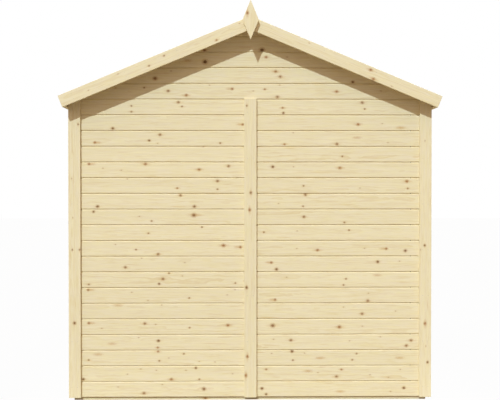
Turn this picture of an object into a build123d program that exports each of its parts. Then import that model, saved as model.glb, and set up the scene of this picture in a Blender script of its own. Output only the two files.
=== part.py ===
from build123d import *
import math
import os

# Wooden garden shed with an apex roof, put together from prefabricated shiplap panels.
# X runs across the gables, Y from the plain rear gable at -Y to the door gable at +Y,
# and Z is up. The origin is on the ground under the middle. Sizes are in millimetres.

# Plan, measured over the cover strips
shed_width = 2130.0
shed_depth = 2130.0

# Floor platform: bearers across the shed, boards on top of them
bearer_width = 38.0
bearer_height = 44.0
bearer_count = 5
floor_thickness = 12.0

# Cladding: a wall panel is 19 shiplap boards high, each covering 92.3 mm
cladding_thickness = 12.0
wall_panel_height = 1753.8
cladding_ground_gap = 20.0
gable_heel = 16.4
panel_gap = 2.0

# Softwood frame behind the cladding
frame_depth = 28.0
frame_width = 45.0
studs_per_panel = 3
middle_rail_share = 0.5

# Planed cover strips over corners and panel joints
strip_thickness = 16.0
corner_strip_width = 70.0
centre_strip_width = 73.0
strip_ground_gap = 18.0

# Roof
roof_pitch = 22.5
roof_board_thickness = 12.0
felt_thickness = 2.0
ridge_felt_reach = 150.0
eaves_overhang = 45.0
gable_overhang = 80.0
ridge_beam_width = 44.0
ridge_beam_height = 95.0
purlin_share = 0.5
eaves_batten_height = 55.0

# Roof trim
trim_width = 70.0
trim_thickness = 18.0
finial_width = 94.0
finial_thickness = 28.0
finial_top_rise = 89.0
finial_foot_drop = 138.0
finial_waist_drop = 26.0

# Double doors in the front gable
doorway_width = 1130.0
door_gap = 3.0
door_rebate = 20.0
door_frame_clearance = 4.0
ledge_width = 70.0
brace_width = 60.0
ledges_per_door = 3

# Tee hinges
hinge_plate_width = 38.0
hinge_plate_height = 100.0
hinge_plate_thickness = 2.5
hinge_strap_length = 300.0
hinge_strap_height = 34.0
hinge_strap_tip = 18.0
hinge_barrel_radius = 4.5
hinge_barrel_lift = 5.0
hinge_groove = 1.0
hinge_pin_radius = 2.2

# Door knob
knob_radius = 22.0
knob_length = 34.0
knob_edge_bevel = 9.0
knob_neck_radius = 8.0
knob_neck_length = 22.0
knob_rose_radius = 24.0
knob_rose_thickness = 4.0
knob_edge_gap = 25.0
knob_height = 980.0

# Distances from the middle of the shed, worked out from the sizes above
slope = math.tan(math.radians(roof_pitch))
slope_cos = math.cos(math.radians(roof_pitch))
slope_sin = math.sin(math.radians(roof_pitch))
strip_face_x = shed_width / 2
strip_face_y = shed_depth / 2
clad_face_x = strip_face_x - strip_thickness
clad_face_y = strip_face_y - strip_thickness
frame_face_x = clad_face_x - cladding_thickness
frame_face_y = clad_face_y - cladding_thickness
frame_back_x = frame_face_x - frame_depth
frame_back_y = frame_face_y - frame_depth
floor_top = bearer_height + floor_thickness
wall_top = cladding_ground_gap + wall_panel_height
roof_seat = wall_top + gable_heel
ridge_underside = roof_seat + slope * clad_face_x
deck_bottom_depth = felt_thickness + roof_board_thickness
roof_apex = ridge_underside + deck_bottom_depth / slope_cos
slope_length = (strip_face_x + eaves_overhang) / slope_cos
trim_back_y = clad_face_y + gable_overhang
trim_face_y = trim_back_y + trim_thickness
doorway_half = doorway_width / 2
jamb_inner_x = doorway_half - door_rebate
middle_rail_z = floor_top + middle_rail_share * (wall_top - floor_top)


def block(x0, x1, y0, y1, z0, z1):
    """A square-cut length of timber between two corners."""
    middle = Pos((x0 + x1) / 2, (y0 + y1) / 2, (z0 + z1) / 2)
    return middle * Box(abs(x1 - x0), abs(y1 - y0), abs(z1 - z0))


def prism(outline, y0, y1):
    """An outline of X and Z points carried along Y."""
    wire = Wire.make_polygon([Vector(x, y0, z) for x, z in outline])
    return Solid.extrude(Face(wire), Vector(0, y1 - y0, 0))


def both_sides(solid):
    """The solid and its mirror image across the middle of the shed."""
    return [solid, mirror(solid, Plane.YZ)]


def both_ends(solid):
    """The solid and its mirror image at the other gable."""
    return [solid, mirror(solid, Plane.XZ)]


def one_side(solid, side):
    """The solid as drawn on the right, or mirrored to the left."""
    return solid if side == "right" else mirror(solid, Plane.YZ)


def one_end(solid, end):
    """The solid as drawn at the front, or mirrored to the rear."""
    return solid if end == "front" else mirror(solid, Plane.XZ)


def roof_underside(x):
    """Height of the underside of the roof boards at a distance x from the middle."""
    return ridge_underside - slope * abs(x)


def roof_point(along, depth):
    """A point of the right-hand slope: along it from the ridge, and square into it."""
    x = along * slope_cos - depth * slope_sin
    z = roof_apex - along * slope_sin - depth * slope_cos
    return (x, z)


def roof_layer(depth0, depth1, end):
    """Section of a layer of the right-hand slope, cut plumb at the ridge."""
    return [
        roof_point(depth0 * slope, depth0),
        roof_point(end, depth0),
        roof_point(end, depth1),
        roof_point(depth1 * slope, depth1),
    ]


def under_roof(x0, x1, z0):
    """Section of an upright piece whose top is bevelled to meet the roof boards."""
    return [(x0, z0), (x1, z0), (x1, roof_underside(x1)), (x0, roof_underside(x0))]


def spaced_starts(low, high, width, count):
    """Starting positions of equally spaced pieces that fill a run from end to end."""
    step = (high - low - width) / (count - 1)
    return [low + number * step for number in range(count)]


# Floor


def floor_bearers():
    """Bearers on edge; the outer two lie flush with the rear and front edges."""
    starts = spaced_starts(-frame_face_y, frame_face_y, bearer_width, bearer_count)
    bearers = []
    for y in starts:
        bearers.append(block(-frame_face_x, frame_face_x, y, y + bearer_width, 0, bearer_height))
    return bearers


def floor_deck():
    """Tongued floor boards as one sheet that carries the wall frames."""
    return [
        block(-frame_face_x, frame_face_x, -frame_face_y, frame_face_y, bearer_height, floor_top)
    ]


# Walls


def gable_wall_cladding(inner_x):
    """Two clad panels of a gable wall, drawn at the front, from inner_x outwards."""
    panel = block(inner_x, clad_face_x, frame_face_y, clad_face_y, cladding_ground_gap, wall_top)
    return both_sides(panel)


def gable_cladding():
    """The clad triangle of a gable, on top of the wall panels and up to the roof boards."""
    outline = [
        (-clad_face_x, wall_top),
        (clad_face_x, wall_top),
        (clad_face_x, roof_seat),
        (0, ridge_underside),
        (-clad_face_x, roof_seat),
    ]
    return [prism(outline, frame_face_y, clad_face_y)]


def side_wall_cladding():
    """Two clad panels of the right-hand side wall, bevelled to the roof at the top."""
    section = under_roof(frame_face_x, clad_face_x, cladding_ground_gap)
    return both_ends(prism(section, panel_gap / 2, frame_face_y))


def gable_wall_studs(starts):
    """Studs of a gable wall, drawn at the front, between its bottom and top rails."""
    studs = []
    for x in starts:
        stud = block(
            x,
            x + frame_width,
            frame_back_y,
            frame_face_y,
            floor_top + frame_width,
            wall_top - frame_width,
        )
        studs += both_sides(stud)
    return studs


def rear_stud_starts():
    """Left edges of the studs of a rear panel, the first and last at its edges."""
    return spaced_starts(panel_gap / 2, frame_face_x, frame_width, studs_per_panel)


def front_stud_starts():
    """Each front panel has a door jamb and a corner stud."""
    return [jamb_inner_x, frame_face_x - frame_width]


def rails_between(starts, z):
    """Short rails at height z between neighbouring studs of a gable wall."""
    rails = []
    for left, right in zip(starts[:-1], starts[1:]):
        rail = block(
            left + frame_width,
            right,
            frame_back_y,
            frame_face_y,
            z - frame_width / 2,
            z + frame_width / 2,
        )
        rails += both_sides(rail)
    return rails


def bottom_rails(inner_x):
    """Bottom rails of a gable wall, from inner_x to the corners."""
    rail = block(
        inner_x, frame_face_x, frame_back_y, frame_face_y, floor_top, floor_top + frame_width
    )
    return both_sides(rail)


def rear_wall_rails():
    """Bottom, middle and top rails of the two rear panels, drawn at the front."""
    top = block(
        panel_gap / 2, frame_face_x, frame_back_y, frame_face_y, wall_top - frame_width, wall_top
    )
    middle = rails_between(rear_stud_starts(), middle_rail_z)
    return bottom_rails(panel_gap / 2) + middle + both_sides(top)


def front_wall_rails():
    """Rails beside the doorway, and one top rail that spans it as the door head."""
    head = block(
        -frame_face_x, frame_face_x, frame_back_y, frame_face_y, wall_top - frame_width, wall_top
    )
    middle = rails_between(front_stud_starts(), middle_rail_z)
    return bottom_rails(jamb_inner_x) + middle + [head]


def side_stud_starts():
    """Near edges of the studs of a side panel, the first and last at its edges."""
    return spaced_starts(panel_gap / 2, frame_back_y, frame_width, studs_per_panel)


def side_plate_bottom():
    """Underside of the bevelled top plate of a side wall."""
    return roof_underside(frame_face_x) - frame_width


def side_wall_studs():
    """Studs of the right-hand wall, from the bottom rail to the top plate."""
    studs = []
    for y in side_stud_starts():
        stud = block(
            frame_back_x,
            frame_face_x,
            y,
            y + frame_width,
            floor_top + frame_width,
            side_plate_bottom(),
        )
        studs += both_ends(stud)
    return studs


def side_wall_rails():
    """Bottom rails, middle rails and bevelled top plates of the right-hand wall."""
    starts = side_stud_starts()
    bottom = block(
        frame_back_x,
        frame_face_x,
        panel_gap / 2,
        frame_back_y,
        floor_top,
        floor_top + frame_width,
    )
    plate = prism(
        under_roof(frame_back_x, frame_face_x, side_plate_bottom()), panel_gap / 2, frame_back_y
    )
    rails = both_ends(bottom) + both_ends(plate)
    for near, far in zip(starts[:-1], starts[1:]):
        middle = block(
            frame_back_x,
            frame_face_x,
            near + frame_width,
            far,
            middle_rail_z - frame_width / 2,
            middle_rail_z + frame_width / 2,
        )
        rails += both_ends(middle)
    return rails


# Frames of the two gables above the wall panels


def gable_rail_top():
    """Top of the rail that the gable rafters and the king post stand on."""
    return wall_top + frame_width


def gable_rails():
    """Bottom rail of each gable, its ends bevelled under the roof boards."""
    bevel_x = (ridge_underside - gable_rail_top()) / slope
    heel_z = roof_underside(frame_face_x)
    outline = [
        (-frame_face_x, wall_top),
        (frame_face_x, wall_top),
        (frame_face_x, heel_z),
        (bevel_x, gable_rail_top()),
        (-bevel_x, gable_rail_top()),
        (-frame_face_x, heel_z),
    ]
    return both_ends(prism(outline, frame_back_y, frame_face_y))


def gable_rafters():
    """Sloping rails under the roof boards, from the gable rail up to the ridge beam."""
    plumb_depth = frame_width / slope_cos
    head_x = ridge_beam_width / 2
    outline = [
        (head_x, roof_underside(head_x)),
        ((ridge_underside - gable_rail_top()) / slope, gable_rail_top()),
        ((ridge_underside - plumb_depth - gable_rail_top()) / slope, gable_rail_top()),
        (head_x, roof_underside(head_x) - plumb_depth),
    ]
    right = prism(outline, frame_back_y, frame_face_y)
    return both_ends(right) + both_ends(mirror(right, Plane.YZ))


def king_posts():
    """Post in each gable that carries an end of the ridge beam."""
    post = block(
        -frame_width / 2,
        frame_width / 2,
        frame_back_y,
        frame_face_y,
        gable_rail_top(),
        ridge_underside - ridge_beam_height,
    )
    return both_ends(post)


# Cover strips


def gable_corner_strips():
    """Corner strips on the face of a gable; they also cover the edges of the side strips."""
    inner_x = strip_face_x - corner_strip_width
    strip = prism(under_roof(inner_x, strip_face_x, strip_ground_gap), clad_face_y, strip_face_y)
    return both_sides(strip)


def centre_strip():
    """Strip over the joint of two wall panels, up to the foot of the gable."""
    half = centre_strip_width / 2
    return [block(-half, half, clad_face_y, strip_face_y, strip_ground_gap, wall_top)]


def side_wall_strips():
    """Strips of the right-hand wall: one at each corner and one over the panel joint."""
    section = under_roof(clad_face_x, strip_face_x, strip_ground_gap)
    corner_y = strip_face_y - corner_strip_width
    half = centre_strip_width / 2
    return both_ends(prism(section, corner_y, clad_face_y)) + [prism(section, -half, half)]


# Roof


def ridge_beam():
    """Beam from gable to gable, its top bevelled both ways to seat the roof boards."""
    half = ridge_beam_width / 2
    outline = [
        (-half, roof_underside(half)),
        (0, ridge_underside),
        (half, roof_underside(half)),
        (half, ridge_underside - ridge_beam_height),
        (-half, ridge_underside - ridge_beam_height),
    ]
    return [prism(outline, -frame_face_y, frame_face_y)]


def roof_purlins():
    """A purlin square to each slope, and a batten against each side wall's top plate."""
    start = purlin_share * slope_length - frame_depth / 2
    end = start + frame_depth
    depth = deck_bottom_depth + frame_width
    purlin = prism(
        [
            roof_point(start, deck_bottom_depth),
            roof_point(end, deck_bottom_depth),
            roof_point(end, depth),
            roof_point(start, depth),
        ],
        -frame_back_y,
        frame_back_y,
    )
    batten_foot = roof_underside(frame_back_x) - eaves_batten_height
    batten = prism(
        under_roof(frame_back_x - frame_depth, frame_back_x, batten_foot),
        -frame_back_y,
        frame_back_y,
    )
    return both_sides(purlin) + both_sides(batten)


def roof_deck():
    """Roof boards of the right-hand slope, butted against the trim all round."""
    section = roof_layer(felt_thickness, deck_bottom_depth, slope_length - trim_thickness)
    return prism(section, -trim_back_y, trim_back_y)


def roof_felt():
    """Mineral felt on the right-hand slope, level with the top edge of the trim."""
    section = roof_layer(0, felt_thickness, slope_length - trim_thickness)
    return prism(section, -trim_back_y, trim_back_y)


def ridge_felt():
    """Strip of felt folded over the ridge and lapped on both slopes."""
    right = prism(roof_layer(-felt_thickness, 0, ridge_felt_reach), -trim_back_y, trim_back_y)
    return [right + mirror(right, Plane.YZ)]


def eaves_fascia():
    """Board square to the slope along the right-hand eaves, between the bargeboards."""
    outline = [
        roof_point(slope_length - trim_thickness, 0),
        roof_point(slope_length, 0),
        roof_point(slope_length, trim_width),
        roof_point(slope_length - trim_thickness, trim_width),
    ]
    return prism(outline, -trim_back_y, trim_back_y)


def bargeboard():
    """Front right bargeboard: cut plumb at the ridge mitre and square at the eaves."""
    return prism(roof_layer(0, trim_width, slope_length), trim_back_y, trim_face_y)


def finial():
    """Diamond board over the mitre of the front bargeboards."""
    outline = [
        (0, roof_apex + finial_top_rise),
        (finial_width / 2, roof_apex - finial_waist_drop),
        (0, roof_apex - finial_foot_drop),
        (-finial_width / 2, roof_apex - finial_waist_drop),
    ]
    return prism(outline, trim_face_y, trim_face_y + finial_thickness)


# Doors, drawn as the right-hand leaf of the front gable


def door_bottom():
    """Foot of the door boards, just above the foot of the cladding."""
    return cladding_ground_gap + door_gap


def door_top():
    """Head of the door boards, just below the gable cladding."""
    return wall_top - door_gap


def door_leaf():
    """Clad face of one leaf, level with the cladding beside it."""
    return block(
        door_gap / 2,
        doorway_half - door_gap,
        frame_face_y,
        clad_face_y,
        door_bottom(),
        door_top(),
    )


def door_frame_box():
    """Left, right, bottom and top limits of the frame behind a leaf."""
    left = door_frame_clearance
    right = jamb_inner_x - door_frame_clearance
    bottom = floor_top + door_frame_clearance
    top = wall_top - frame_width - door_frame_clearance
    return left, right, bottom, top


def door_stiles():
    """Uprights at both edges of each leaf."""
    left, right, bottom, top = door_frame_box()
    inner = block(left, left + frame_width, frame_back_y, frame_face_y, bottom, top)
    outer = block(right - frame_width, right, frame_back_y, frame_face_y, bottom, top)
    return both_sides(inner) + both_sides(outer)


def ledge_starts():
    """Feet of the ledges of a leaf."""
    left, right, bottom, top = door_frame_box()
    return spaced_starts(bottom, top, ledge_width, ledges_per_door)


def door_ledges():
    """Cross rails between the stiles of each leaf."""
    left, right, bottom, top = door_frame_box()
    ledges = []
    for z in ledge_starts():
        ledge = block(
            left + frame_width,
            right - frame_width,
            frame_back_y,
            frame_face_y,
            z,
            z + ledge_width,
        )
        ledges += both_sides(ledge)
    return ledges


def door_braces():
    """Diagonals that rise from the hinge side, cut to fit between stiles and ledges."""
    left, right, bottom, top = door_frame_box()
    left += frame_width
    right -= frame_width
    starts = ledge_starts()
    braces = []
    for low, high in zip(starts[:-1], starts[1:]):
        foot = low + ledge_width
        rise = high - foot
        run = right - left
        length = math.hypot(run, rise)
        reach_x = brace_width * length / rise
        reach_z = brace_width * length / run
        outline = [
            (right, foot),
            (right, foot + reach_z / 2),
            (left + reach_x / 2, high),
            (left, high),
            (left, high - reach_z / 2),
            (right - reach_x / 2, foot),
        ]
        braces += both_sides(prism(outline, frame_back_y, frame_face_y))
    return braces


def door_meeting_strip():
    """Cover strip over the joint of the two leaves, as wide as the rear centre strip."""
    half = centre_strip_width / 2
    return [block(-half, half, clad_face_y, strip_face_y, door_bottom(), door_top())]


# Ironwork on the doors


def tee_hinge(z):
    """Tee hinge on the right-hand leaf: tall plate, three knuckles and a tapered strap."""
    axis_x = doorway_half - door_gap / 2
    face_y = clad_face_y
    top_y = face_y + hinge_plate_thickness
    half_plate = hinge_plate_height / 2
    half_strap = hinge_strap_height / 2
    tip_radius = hinge_strap_tip / 2
    tip_x = axis_x - hinge_strap_length + tip_radius
    plate = block(
        axis_x + door_gap / 2,
        axis_x + hinge_plate_width,
        face_y,
        top_y,
        z - half_plate,
        z + half_plate,
    )
    strap = prism(
        [
            (axis_x - door_gap / 2, z + half_strap),
            (tip_x, z + tip_radius),
            (tip_x, z - tip_radius),
            (axis_x - door_gap / 2, z - half_strap),
        ],
        face_y,
        top_y,
    )
    tip_plane = Plane(origin=(tip_x, face_y, z), z_dir=(0, 1, 0))
    tip = extrude(tip_plane * Circle(tip_radius), amount=hinge_plate_thickness)
    barrel_y = face_y + hinge_barrel_lift
    barrel = Pos(axis_x, barrel_y, z) * Cylinder(hinge_barrel_radius, hinge_plate_height)
    web = block(
        axis_x - hinge_barrel_radius,
        axis_x + hinge_barrel_radius,
        face_y,
        top_y,
        z - half_strap,
        z + half_strap,
    )
    upper_web = block(
        axis_x,
        axis_x + hinge_barrel_radius,
        face_y,
        top_y,
        z + half_strap,
        z + half_plate,
    )
    lower_web = block(
        axis_x,
        axis_x + hinge_barrel_radius,
        face_y,
        top_y,
        z - half_plate,
        z - half_strap,
    )
    hinge = plate + strap + tip + barrel + web + upper_web + lower_web
    for groove_z in (z - half_strap, z + half_strap):
        ring = Pos(axis_x, barrel_y, groove_z) * Cylinder(2 * hinge_barrel_radius, hinge_groove)
        pin = Pos(axis_x, barrel_y, groove_z) * Cylinder(hinge_pin_radius, hinge_groove)
        hinge = hinge - (ring - pin)
    return hinge


def hinge_heights():
    """The hinges of a leaf are in line with its ledges."""
    return [z + ledge_width / 2 for z in ledge_starts()]


def tee_hinges():
    """The hinges of both leaves."""
    hinges = []
    for z in hinge_heights():
        hinges += both_sides(tee_hinge(z))
    return hinges


def door_knob():
    """Turned knob on a round rose, on the leaf that carries the meeting strip."""
    seat = Plane(
        origin=(
            centre_strip_width / 2 + knob_edge_gap + knob_rose_radius,
            clad_face_y,
            knob_height,
        ),
        z_dir=(0, 1, 0),
    )
    rose = extrude(seat * Circle(knob_rose_radius), amount=knob_rose_thickness)
    neck = extrude(seat * Circle(knob_neck_radius), amount=knob_neck_length)
    head = seat * Pos(0, 0, knob_neck_length) * Cylinder(
        knob_radius, knob_length, align=(Align.CENTER, Align.CENTER, Align.MIN)
    )
    head = chamfer(head.edges().filter_by(GeomType.CIRCLE), knob_edge_bevel)
    return [rose + neck + head]


# Every node of the building and the solids in it

nodes = {
    "floor_bearers": floor_bearers(),
    "floor_deck": floor_deck(),
    "rear_wall_cladding": [one_end(panel, "rear") for panel in gable_wall_cladding(panel_gap / 2)],
    "rear_gable_cladding": [one_end(panel, "rear") for panel in gable_cladding()],
    "rear_wall_studs": [one_end(stud, "rear") for stud in gable_wall_studs(rear_stud_starts())],
    "rear_wall_rails": [one_end(rail, "rear") for rail in rear_wall_rails()],
    "rear_corner_strips": [one_end(strip, "rear") for strip in gable_corner_strips()],
    "rear_centre_strip": [one_end(strip, "rear") for strip in centre_strip()],
    "front_wall_cladding": gable_wall_cladding(doorway_half),
    "front_gable_cladding": gable_cladding(),
    "front_wall_studs": gable_wall_studs(front_stud_starts()),
    "front_wall_rails": front_wall_rails(),
    "front_corner_strips": gable_corner_strips(),
    "gable_rails": gable_rails(),
    "gable_rafters": gable_rafters(),
    "king_posts": king_posts(),
    "ridge_beam": ridge_beam(),
    "roof_purlins": roof_purlins(),
    "ridge_felt": ridge_felt(),
    "door_stiles": door_stiles(),
    "door_ledges": door_ledges(),
    "door_braces": door_braces(),
    "door_meeting_strip": door_meeting_strip(),
    "tee_hinges": tee_hinges(),
    "door_knob": door_knob(),
}
for side in ("left", "right"):
    nodes[side + "_wall_cladding"] = [one_side(panel, side) for panel in side_wall_cladding()]
    nodes[side + "_wall_studs"] = [one_side(stud, side) for stud in side_wall_studs()]
    nodes[side + "_wall_rails"] = [one_side(rail, side) for rail in side_wall_rails()]
    nodes[side + "_wall_strips"] = [one_side(strip, side) for strip in side_wall_strips()]
    nodes["roof_deck_" + side] = [one_side(roof_deck(), side)]
    nodes["roof_felt_" + side] = [one_side(roof_felt(), side)]
    nodes["eaves_fascia_" + side] = [one_side(eaves_fascia(), side)]
    nodes["door_leaf_" + side] = [one_side(door_leaf(), side)]
for end in ("rear", "front"):
    nodes[end + "_finial"] = [one_end(finial(), end)]
    for side in ("left", "right"):
        nodes[end + "_bargeboard_" + side] = [one_end(one_side(bargeboard(), side), end)]

os.makedirs("parts", exist_ok=True)
for name, solids in nodes.items():
    shape = solids[0] if len(solids) == 1 else Compound(solids)
    export_step(shape, os.path.join("parts", name + ".step"))
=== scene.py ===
import itertools
import math
import random
import bmesh
import bpy
from mathutils import Matrix, Vector, noise


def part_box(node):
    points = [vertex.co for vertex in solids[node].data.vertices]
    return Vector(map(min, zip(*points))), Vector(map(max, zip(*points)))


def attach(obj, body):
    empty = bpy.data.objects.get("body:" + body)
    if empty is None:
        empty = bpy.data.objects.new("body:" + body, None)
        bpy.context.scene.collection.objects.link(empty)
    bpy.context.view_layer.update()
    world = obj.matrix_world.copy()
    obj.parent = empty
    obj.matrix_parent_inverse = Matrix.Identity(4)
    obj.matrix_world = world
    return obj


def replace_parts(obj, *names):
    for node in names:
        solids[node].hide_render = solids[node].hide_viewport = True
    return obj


# Wooden garden shed: the finish of its boards, trim, felt and ironwork, around the solids.
# X runs across the gables, Y from the plain rear gable to the door gable, Z is up. Metres.

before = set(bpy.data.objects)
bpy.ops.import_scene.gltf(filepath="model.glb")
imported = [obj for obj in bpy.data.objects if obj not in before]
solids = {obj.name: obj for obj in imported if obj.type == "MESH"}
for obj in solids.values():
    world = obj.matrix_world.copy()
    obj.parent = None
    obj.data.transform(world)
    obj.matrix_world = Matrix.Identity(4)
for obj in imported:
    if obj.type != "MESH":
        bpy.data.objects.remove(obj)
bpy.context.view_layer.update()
scene = bpy.context.scene

# Walls and roof, as the solids have them
wall_low, wall_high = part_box("rear_wall_cladding")
clad_face = -wall_low.y
clad_back = -wall_high.y
wall_foot = wall_low.z
wall_top = wall_high.z
strip_face = -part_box("rear_centre_strip")[0].y
gable_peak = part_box("rear_gable_cladding")[1].z
trim_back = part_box("eaves_fascia_right")[1].y
trim_face = -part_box("rear_bargeboard_left")[0].y
finial_face = -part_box("rear_finial")[0].y
leaf_low, leaf_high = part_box("door_leaf_right")
jamb_low = min(abs(corner.co.x) for corner in solids["front_wall_cladding"].data.vertices)
panel_gap = 0.002
panel_rows = 19
gable_rows = 5
side_rows = 20
roof_pitch = math.radians(22.5)
roof_cos = math.cos(roof_pitch)
roof_sin = math.sin(roof_pitch)
roof_slope = math.tan(roof_pitch)
sides = {"left": -1, "right": 1}

# Each wall is drawn facing -Y and then turned round the middle of the shed
turns = {"rear": 0, "right": 90, "front": 180, "left": -90}

# Section of a shiplap board
board_cover = (wall_top - wall_foot) / panel_rows
board_thickness = clad_face - clad_back
lip_thickness = 0.0054
lip_clearance = 0.0003
lip_arris = 0.0018
tongue_height = 0.008
tongue_clearance = 0.0005
cove_height = 0.0084
cove_steps = 6
arris_steps = 3

# Roof and floor boards, tongued, with a small V at each joint
plank_cover = 0.092
plank_clearance = 0.0001
plank_bevel = 0.0018

# Rounding of planed and sawn edges
planed_arris = 0.0012
sawn_arris = 0.0008
arris_turns = 2
sharp_edge = math.radians(14)

# The camera, found from the outlines of the photographed gable
photo_width = 500
photo_height = 400
camera_place = Vector((-0.0685, -6.273, 1.253))
camera_turn = math.radians(0.7275)
camera_dip = math.radians(0.806)
camera_focal = 888.26
sensor_width = 36.0

# Light all round the shed, as strengths and as colours from the rear and from the front
horizon_light = 0.14
zenith_light = 1.52
sunward_share = 0.4
rear_ambient = (1.0, 0.79, 0.635, 1.0)
front_ambient = (0.78, 0.70, 0.62, 1.0)
white = (1.0, 1.0, 1.0, 1.0)

# Floor: nearly white to the camera, and palest by the walls, where the paler colour is a painted
# pool of light that bounces more light on to the lowest boards and the recess under them
floor_reach = 30.0
floor_drop = 0.0005
floor_by_walls_painted_light = (0.385, 0.345, 0.30, 1.0)
floor_far = (0.215, 0.175, 0.137, 1.0)
floor_white_share = 0.975

# Wood colours, as the light leaves them
planed_early = (0.84, 0.735, 0.485, 1.0)
planed_late = (0.72, 0.56, 0.30, 1.0)
sawn_early = (0.78, 0.66, 0.42, 1.0)
sawn_late = (0.64, 0.48, 0.25, 1.0)
resin_colour = (0.62, 0.40, 0.15, 1.0)
halo_colour = (0.58, 0.34, 0.13, 1.0)
rim_colour = (0.48, 0.26, 0.08, 1.0)
dark_knot = (0.17, 0.085, 0.024, 1.0)
red_knot = (0.34, 0.125, 0.036, 1.0)


# Camera and light


def camera_axes():
    """Right, up and forward of the camera."""
    level = math.cos(camera_dip)
    forward = Vector(
        (math.sin(camera_turn) * level, math.cos(camera_turn) * level, -math.sin(camera_dip))
    )
    right = Vector((math.cos(camera_turn), -math.sin(camera_turn), 0))
    return right, right.cross(forward), forward


def put_camera():
    """Stands the camera in front of the rear gable, as the photograph was taken."""
    data = bpy.data.cameras.new("camera")
    data.sensor_fit = "HORIZONTAL"
    data.sensor_width = sensor_width
    data.lens = camera_focal * sensor_width / photo_width
    camera = bpy.data.objects.new("camera", data)
    right, up, forward = camera_axes()
    turn = Matrix((right, up, -forward)).transposed().to_4x4()
    camera.matrix_world = Matrix.Translation(camera_place) @ turn
    scene.collection.objects.link(camera)
    scene.camera = camera


def on_face(column, row, face):
    """The point of an upright face, at -Y, that a column and row of the photograph show."""
    right, up, forward = camera_axes()
    ray = forward
    ray = ray + right * ((column - photo_width / 2) / camera_focal)
    ray = ray + up * ((photo_height / 2 - row) / camera_focal)
    return camera_place + ray * ((-face - camera_place.y) / ray.y)


def put_sun(name, travel, strength, colour, spread):
    """A sun whose light travels in a direction; spread is its width in degrees."""
    data = bpy.data.lights.new(name, "SUN")
    data.energy = strength
    data.color = colour
    data.angle = math.radians(spread)
    sun = bpy.data.objects.new(name, data)
    sun.rotation_euler = Vector(travel).to_track_quat("-Z", "Y").to_euler()
    scene.collection.objects.link(sun)


# Making of materials


def sum_by(operation):
    """What a sign in a formula does: it adds the node that works the sum out."""
    return lambda first, second: first.recipe.maths(operation, first, second)


class Value:
    """What a node puts out, for use in formulas."""

    __add__ = sum_by("ADD")
    __sub__ = sum_by("SUBTRACT")
    __mul__ = sum_by("MULTIPLY")
    __truediv__ = sum_by("DIVIDE")

    def __init__(self, recipe, socket):
        self.recipe = recipe
        self.socket = socket


class Recipe:
    """Adds nodes to a tree and joins them; a plain value serves where nothing is joined."""

    def __init__(self, tree):
        self.tree = tree

    def node(self, kind, feeds=(), **settings):
        """Adds a node, and gives what it puts out by number and by name.

        feeds are the sources of its first inputs in order, or of its inputs by name.
        """
        made = self.tree.nodes.new(kind)
        for name, value in settings.items():
            setattr(made, name, value)
        named = feeds if isinstance(feeds, dict) else dict(enumerate(feeds))
        for name, source in named.items():
            if isinstance(source, Value):
                self.tree.links.new(source.socket, made.inputs[name])
            else:
                made.inputs[name].default_value = source
        values = {}
        for number, socket in enumerate(made.outputs):
            values[number] = values[socket.name] = Value(self, socket)
        return values

    def maths(self, operation, *sources):
        return self.node("ShaderNodeMath", sources, operation=operation)[0]

    def vector(self, operation, *sources):
        return self.node("ShaderNodeVectorMath", sources, operation=operation)["Vector"]

    def split(self, vector):
        parts = self.node("ShaderNodeSeparateXYZ", [vector])
        return [parts[axis] for axis in "XYZ"]

    def join(self, *parts):
        return self.node("ShaderNodeCombineXYZ", parts)[0]

    def length(self, *parts):
        """How long a vector with these parts is."""
        return self.node("ShaderNodeVectorMath", [self.join(*parts)], operation="LENGTH")["Value"]

    def noise(self, place, scale, detail=1.0, roughness=0.5):
        """Noise from 0 to 1; scale is features per metre along each axis."""
        spot = self.vector("MULTIPLY", place, scale)
        feeds = {"Vector": spot, "Scale": 1.0, "Detail": detail, "Roughness": roughness}
        return self.node("ShaderNodeTexNoise", feeds)[0]

    def ease(self, value, low, high, start=0.0, end=1.0):
        """Goes smoothly from start to end as the value goes from low to high."""
        feeds = [value, low, high, start, end]
        return self.node("ShaderNodeMapRange", feeds, interpolation_type="SMOOTHSTEP")[0]

    def tint(self, share, first, second):
        """A colour that goes from the first to the second with the share."""
        feeds = {0: share, 6: first, 7: second}
        return self.node("ShaderNodeMix", feeds, data_type="RGBA")[2]

    def bump(self, height, strength):
        """Normals of a surface with heights given in metres."""
        feeds = {"Height": height, "Strength": strength, "Distance": 1.0}
        return self.node("ShaderNodeBump", feeds)[0]

    def carried(self, name, output="Vector"):
        """A value that a piece carries on its mesh."""
        return self.node("ShaderNodeAttribute", attribute_name=name)[output]

    def place(self):
        """Where a point lies on its piece, in metres."""
        return self.node("ShaderNodeTexCoord")["Object"]

    def surface(self, colour, roughness, normal, shine=0.5, metal=0.0):
        """Puts out one shader as the surface of a material."""
        feeds = {"Base Color": colour, "Roughness": roughness, "Normal": normal}
        feeds.update({"Specular IOR Level": shine, "Metallic": metal})
        shader = self.node("ShaderNodeBsdfPrincipled", feeds)
        self.node("ShaderNodeOutputMaterial", [shader[0]])

    def put_out(self, output, lighting, view, share):
        """Puts out what lights the scene, but mostly another thing where the camera sees it."""
        seen = self.node("ShaderNodeLightPath")["Is Camera Ray"] * share
        mixed = self.node("ShaderNodeMixShader", [seen, lighting[0], view[0]])
        self.node(output, [mixed[0]])


def new_tree(kind, name, takes, gives):
    """An empty node group with named sockets: its recipe, and the values that it takes."""
    tree = bpy.data.node_groups.new(name, kind)
    for way, sockets in (("INPUT", takes), ("OUTPUT", gives)):
        for socket, value in sockets.items():
            tree.interface.new_socket(socket, in_out=way, socket_type="NodeSocket" + value)
    recipe = Recipe(tree)
    return recipe, recipe.node("NodeGroupInput")


def empty_recipe(owner):
    """The recipe of a material or a world, which starts with no nodes."""
    owner.use_nodes = True
    owner.node_tree.nodes.clear()
    return Recipe(owner.node_tree)


def new_material(name):
    """A material and its recipe."""
    material = bpy.data.materials.new(name)
    return material, empty_recipe(material)


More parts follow.
